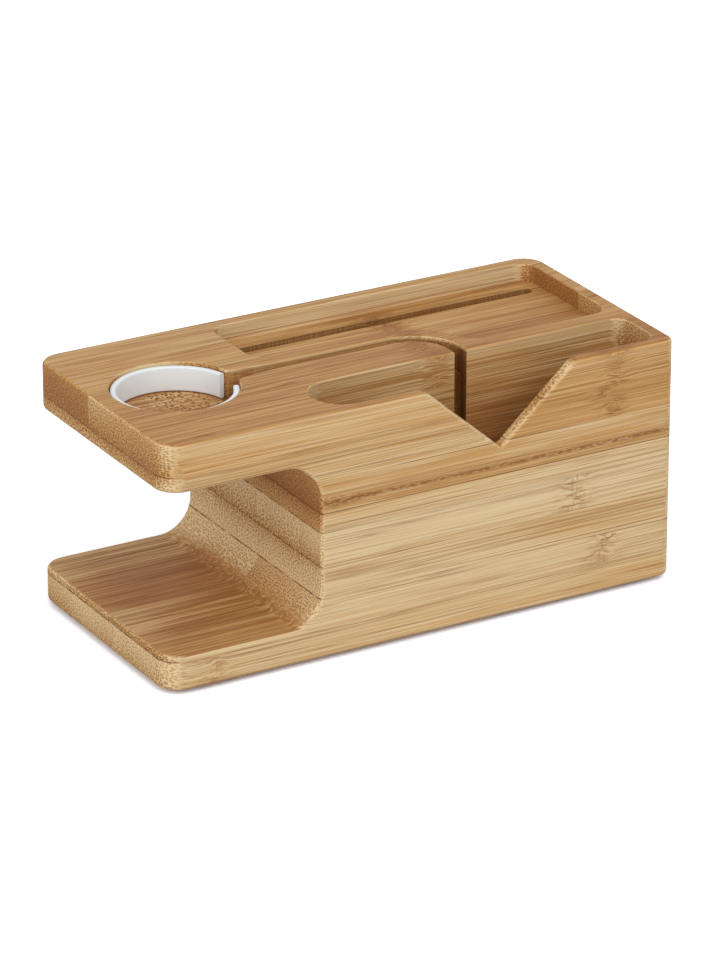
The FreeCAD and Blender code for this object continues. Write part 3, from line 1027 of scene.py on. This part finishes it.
class MakeBumpers(bpy.types.Operator):
    """Turn one domed foot and set it at the four corners under the block"""

    bl_idname = "organizer.make_bumpers"
    bl_label = "Make bumper feet"

    def execute(self, context):
        settings = context.scene.organizer_bumpers
        corners = ["front_left", "front_right", "back_left", "back_right"]
        names = ["bumper_" + corner for corner in corners]
        low, high = (Vector(corner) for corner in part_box(names[0]))
        far_low, far_high = (Vector(corner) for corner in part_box(names[3]))
        middle = (low + high) / 2
        span = (far_low + far_high) / 2 - middle
        inputs = {
            "Corner": (middle.x, middle.y, low.z),
            "Span X": span.x,
            "Span Y": span.y,
            "Radius": (high.x - low.x) / 2,
            "Base Radius": settings.base_radius,
            "Height": high.z - low.z,
            "Material": self.make_material(settings),
        }
        finished_piece("bumper_feet", self.make_tree(), inputs, "block", "clear_silicone", *names)
        return {"FINISHED"}

    def make_tree(self):
        nodes, taken, given = new_tree(
            "Geometry",
            "Bumper feet",
            {
                "Corner": "Vector",
                "Span X": "Float",
                "Span Y": "Float",
                "Radius": "Float",
                "Base Radius": "Float",
                "Height": "Float",
                "Material": "Material",
            },
            {"Geometry": "Geometry"},
        )
        # One foot: a disc, pulled in and rounded towards the floor
        disc = nodes.add(
            "GeometryNodeMeshCylinder",
            {
                "Vertices": BUMPER_STEPS,
                "Side Segments": BUMPER_SIDE_RINGS,
                "Fill Segments": BUMPER_FILL_RINGS,
                "Radius": taken["Radius"],
                "Depth": taken["Height"],
            },
        )
        raised = nodes.math("MULTIPLY", taken["Height"], 0.5)
        lifted = nodes.add(
            "GeometryNodeTransform",
            {0: disc.outputs[0], "Translation": nodes.joined(0.0, 0.0, raised)},
        )
        place = nodes.parts(nodes.add("GeometryNodeInputPosition").outputs[0])
        depth = nodes.math("SUBTRACT", 1.0, nodes.math("DIVIDE", place[2], taken["Height"]))
        taper = nodes.math("SUBTRACT", 1.0, nodes.math("DIVIDE", taken["Base Radius"], taken["Radius"]))
        squeeze = nodes.math("MULTIPLY", nodes.math("POWER", depth, BUMPER_ROUNDING), taper)
        inward = nodes.math("SUBTRACT", 1.0, squeeze)
        shaped = nodes.add(
            "GeometryNodeSetPosition",
            {
                "Geometry": lifted.outputs[0],
                "Position": nodes.joined(
                    nodes.math("MULTIPLY", place[0], inward),
                    nodes.math("MULTIPLY", place[1], inward),
                    place[2],
                ),
            },
        )
        grid = nodes.add(
            "GeometryNodeMeshGrid",
            {"Size X": taken["Span X"], "Size Y": taken["Span Y"], "Vertices X": 2, "Vertices Y": 2},
        )
        centre = nodes.vector(
            "ADD",
            taken["Corner"],
            nodes.scaled(nodes.joined(taken["Span X"], taken["Span Y"], 0.0), 0.5),
        )
        spots = nodes.add("GeometryNodeTransform", {0: grid.outputs[0], "Translation": centre})
        set_down = nodes.add(
            "GeometryNodeInstanceOnPoints", {"Points": spots.outputs[0], "Instance": shaped.outputs[0]}
        )
        real = nodes.add("GeometryNodeRealizeInstances", {0: set_down.outputs[0]})
        coated = nodes.add(
            "GeometryNodeSetMaterial", {"Geometry": real.outputs[0], "Material": taken["Material"]}
        )
        nodes.feed(given[0], coated.outputs[0])
        return nodes.tree

    def make_material(self, settings):
        material, nodes, shader = new_material("bumper_clear_silicone")
        position = nodes.scaled(nodes.add("ShaderNodeTexCoord").outputs["Object"], 1.0 / MILLIMETRE)
        dust = nodes.noise(position, scale=1.5, detail=4.0)[0]
        nodes.feed(shader["Base Color"], nodes.mixed(dust, darker(settings.colour, 0.85), settings.colour))
        nodes.feed(shader["Roughness"], nodes.ranged(dust, 0.3, 0.7, 0.18, 0.40))
        nodes.feed(shader["Transmission Weight"], 0.6)
        return material


class SetStage(bpy.types.Operator):
    """Set the camera, the lamps, the white surroundings and the floor"""

    bl_idname = "organizer.set_stage"
    bl_label = "Set stage"

    def execute(self, context):
        settings = context.scene.organizer_stage
        context.scene.view_settings.view_transform = "Standard"
        self.make_camera(context.scene, settings)
        self.make_world(context.scene, settings)
        self.make_floor(context.scene, settings)
        for side, place in LAMPS.items():
            self.make_lamp(context.scene, side + "_lamp", place, getattr(settings, side + "_light"))
        return {"FINISHED"}

    def make_camera(self, scene, settings):
        around, above = settings.azimuth, settings.elevation
        back = Vector((
            math.sin(around) * math.cos(above),
            -math.cos(around) * math.cos(above),
            math.sin(above),
        ))
        right = Vector((math.cos(around), math.sin(around), 0.0))
        up = back.cross(right)
        target = Vector(CAMERA_TARGET) + right * CAMERA_SHIFT[0] + up * CAMERA_SHIFT[1]
        data = bpy.data.cameras.new("camera")
        data.lens = settings.lens
        data.sensor_width = 36.0
        data.clip_start = 0.05
        data.clip_end = 20.0
        camera = bpy.data.objects.new("camera", data)
        turn = Matrix((right, up, back)).transposed().to_4x4()
        camera.matrix_world = Matrix.Translation(target + back * settings.distance) @ turn
        scene.collection.objects.link(camera)
        scene.camera = camera

    def make_world(self, scene, settings):
        world = bpy.data.worlds.new("white surroundings")
        world.use_nodes = True
        world.node_tree.nodes.clear()
        nodes = Nodes(world.node_tree)
        rays = nodes.add("ShaderNodeLightPath").outputs
        seen = nodes.math("MAXIMUM", rays["Is Camera Ray"], rays["Is Transmission Ray"])
        seen = nodes.math("MAXIMUM", seen, rays["Is Glossy Ray"])
        strength = nodes.ranged(seen, 0.0, 1.0, settings.sky_strength, 1.0, smooth=False)
        light = nodes.add("ShaderNodeBackground", {"Color": (1.0, 1.0, 1.0, 1.0), "Strength": strength})
        nodes.add("ShaderNodeOutputWorld", {"Surface": light.outputs[0]})
        scene.world = world

    def make_floor(self, scene, settings):
        mesh = bpy.data.meshes.new("floor")
        quarters = [(-1, -1), (1, -1), (1, 1), (-1, 1)]
        corners = [(x * FLOOR_REACH, y * FLOOR_REACH, 0.0) for x, y in quarters]
        mesh.from_pydata(corners, [], [(0, 1, 2, 3)])
        floor = bpy.data.objects.new("floor", mesh)
        scene.collection.objects.link(floor)
        material = bpy.data.materials.new("floor_white")
        material.use_nodes = True
        material.node_tree.nodes.clear()
        nodes = Nodes(material.node_tree)
        rays = nodes.add("ShaderNodeLightPath").outputs
        colour = nodes.mixed(rays["Is Camera Ray"], settings.floor_colour, FLOOR_WHITE)
        surface = nodes.add("ShaderNodeBsdfDiffuse", {"Color": colour})
        nodes.add("ShaderNodeOutputMaterial", {"Surface": surface.outputs[0]})
        mesh.materials.append(material)

    def make_lamp(self, scene, name, place, light):
        """A square lamp that points at the object and gives this much light there."""
        aim = Vector(LAMP_TARGET) - Vector(place)
        data = bpy.data.lights.new(name, "AREA")
        data.energy = light * (math.pi * aim.length) ** 2
        data.shape = "SQUARE"
        data.size = LAMP_SIZE
        lamp = bpy.data.objects.new(name, data)
        lamp.matrix_world = Matrix.Translation(place) @ aim.to_track_quat("-Z", "Y").to_matrix().to_4x4()
        scene.collection.objects.link(lamp)


class OrganizerPanel(bpy.types.Panel):
    """Sidebar panel with the organizer's settings and steps"""

    bl_idname = "VIEW3D_PT_organizer"
    bl_label = "Charging station organizer"
    bl_space_type = "VIEW_3D"
    bl_region_type = "UI"
    bl_category = "Organizer"

    def draw(self, context):
        for pointer, settings_class in SETTINGS.items():
            settings = getattr(context.scene, pointer)
            box = self.layout.box()
            for name in settings_class.__annotations__:
                box.prop(settings, name)
        for operator in OPERATORS:
            self.layout.operator(operator.bl_idname)


SETTINGS = {
    "organizer_bamboo": BambooSettings,
    "organizer_liner": LinerSettings,
    "organizer_bumpers": BumperSettings,
    "organizer_stage": StageSettings,
}
OPERATORS = [DressStrips, MakeLiner, MakeBumpers, SetStage]
CLASSES = [*SETTINGS.values(), *OPERATORS, OrganizerPanel]


def register():
    for item in CLASSES:
        bpy.utils.register_class(item)
    for pointer, settings_class in SETTINGS.items():
        setattr(bpy.types.Scene, pointer, bpy.props.PointerProperty(type=settings_class))


def unregister():
    for pointer in SETTINGS:
        delattr(bpy.types.Scene, pointer)
    for item in reversed(CLASSES):
        bpy.utils.unregister_class(item)


def main():
    register()
    bpy.ops.organizer.dress_strips()
    bpy.ops.organizer.make_liner()
    bpy.ops.organizer.make_bumpers()
    bpy.ops.organizer.set_stage()


if __name__ == "__main__":
    main()
